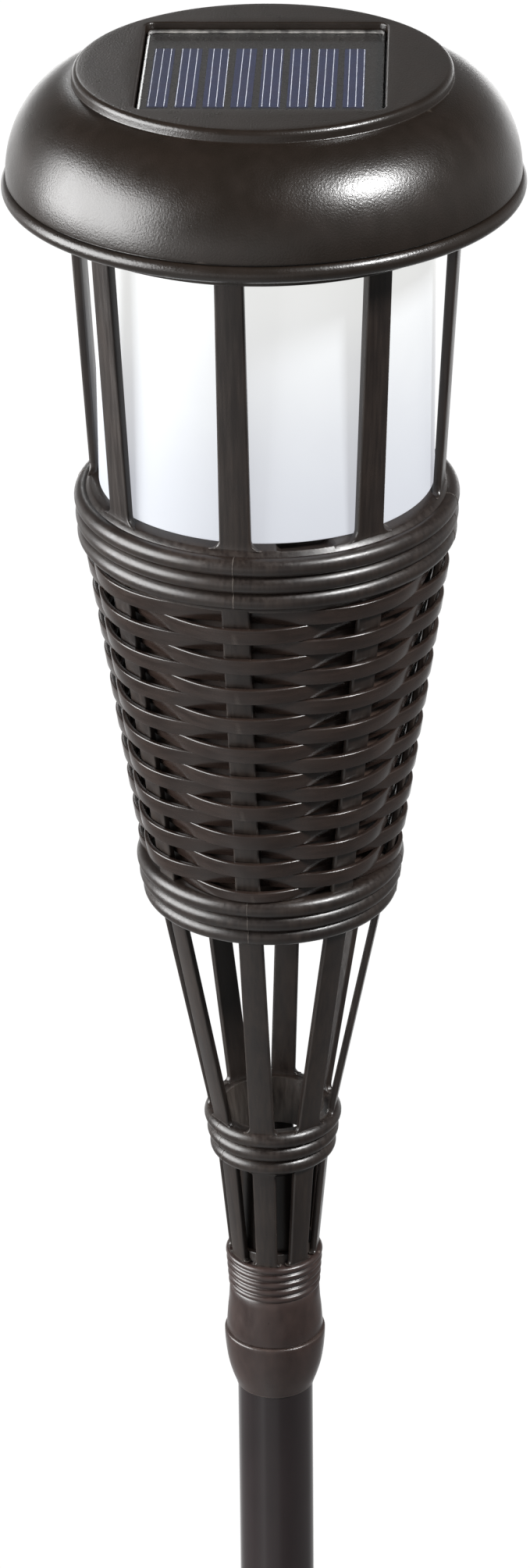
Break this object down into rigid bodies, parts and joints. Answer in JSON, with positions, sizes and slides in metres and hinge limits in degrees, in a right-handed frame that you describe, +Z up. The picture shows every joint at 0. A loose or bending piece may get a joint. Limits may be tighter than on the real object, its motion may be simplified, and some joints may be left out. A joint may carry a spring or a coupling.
{
  "type": "solar garden torch light",
  "caption": "Solar torch light with a domed panel cap, frosted lens in a slatted basket-weave cage, and a sectional pole ending in a ground stake.",
  "frame": {"origin": "tip of the ground stake, on the torch's axis", "axes": "+Z up along the pole's axis, towards the cap; -Y is the front, square to the solar window's lower edge; +X to the right seen from the front"},
  "size_m": [0.125, 0.125, 1.2],
  "materials": {
    "cap_brown": "fine spark-grained dark brown moulding",
    "cage_brown": "satin dark brown moulding",
    "weave_brown": "semi-gloss dark brown moulding",
    "collar_brown": "satin warm brown moulding",
    "pole_paint": "gloss dark brown powder coat",
    "stake_plastic": "satin dark moulding",
    "lens_frost": "frosted white diffuser",
    "board_dark": "dark panel board",
    "cell_blue": "silicon strips with fine silver fingers",
    "cover_clear": "clear cover over the cells",
    "tray_plastic": "dark moulded tray",
    "battery_wrap": "shrink wrap",
    "contact_metal": "nickel-plated spring steel",
    "screw_steel": "zinc-plated steel",
    "pcb_green": "solder mask",
    "chip_black": "moulded package",
    "led_amber": "tinted lamp body",
    "wire_red": "insulation",
    "wire_black": "insulation",
    "switch_black": "moulded switch"
  },
  "bodies": {
    "stake": {"ground_stake": "stake_plastic"},
    "lower_pole": {"pole_lower": "pole_paint", "pole_joiner": "collar_brown"},
    "upper_pole": {"pole_upper": "pole_paint"},
    "head": {"cage_frame": "cage_brown", "upper_band": "cage_brown", "lower_band": "cage_brown", "neck_band": "cage_brown", "weave_rows_over": "weave_brown", "weave_rows_under": "weave_brown", "weave_lining": "weave_brown", "lens": "lens_frost", "neck_core": "cage_brown", "collar": "collar_brown", "collar_cup": "collar_brown"},
    "cap": {"cap_shell": "cap_brown", "solar_board": "board_dark", "solar_cells": "cell_blue", "panel_cover": "cover_clear", "lamp_tray": "tray_plastic", "tray_screws": "screw_steel", "battery_cell": "battery_wrap", "battery_contacts": "contact_metal", "battery_spring": "contact_metal", "circuit_board": "pcb_green", "control_chip": "chip_black", "inductor": "chip_black", "leds": "led_amber", "lead_red": "wire_red", "lead_black": "wire_black", "switch_body": "switch_black"},
    "door": {"battery_door": "tray_plastic"},
    "slider": {"switch_slider": "switch_black"}
  },
  "joints": [
    {"name": "lower_pole_pull", "type": "slide", "parent": "stake", "child": "lower_pole", "axis": [0, 0, 1], "range_m": [0, 0.042]},
    {"name": "upper_pole_pull", "type": "slide", "parent": "lower_pole", "child": "upper_pole", "axis": [0, 0, 1], "range_m": [0, 0.042]},
    {"name": "head_pull", "type": "slide", "parent": "upper_pole", "child": "head", "axis": [0, 0, 1], "range_m": [0, 0.042]},
    {"name": "cap_twist", "type": "hinge", "parent": "head", "child": "cap", "pos_m": [0, 0, 1.1715], "axis": [0, 0, 1], "range_deg": [0, 25]},
    {"name": "door_swing", "type": "hinge", "parent": "cap", "child": "door", "pos_m": [0, -0.0195, 1.1633], "axis": [-1, 0, 0], "range_deg": [0, 90]},
    {"name": "switch_slide", "type": "slide", "parent": "cap", "child": "slider", "axis": [1, 0, 0], "range_m": [0, 0.0025]}
  ]
}
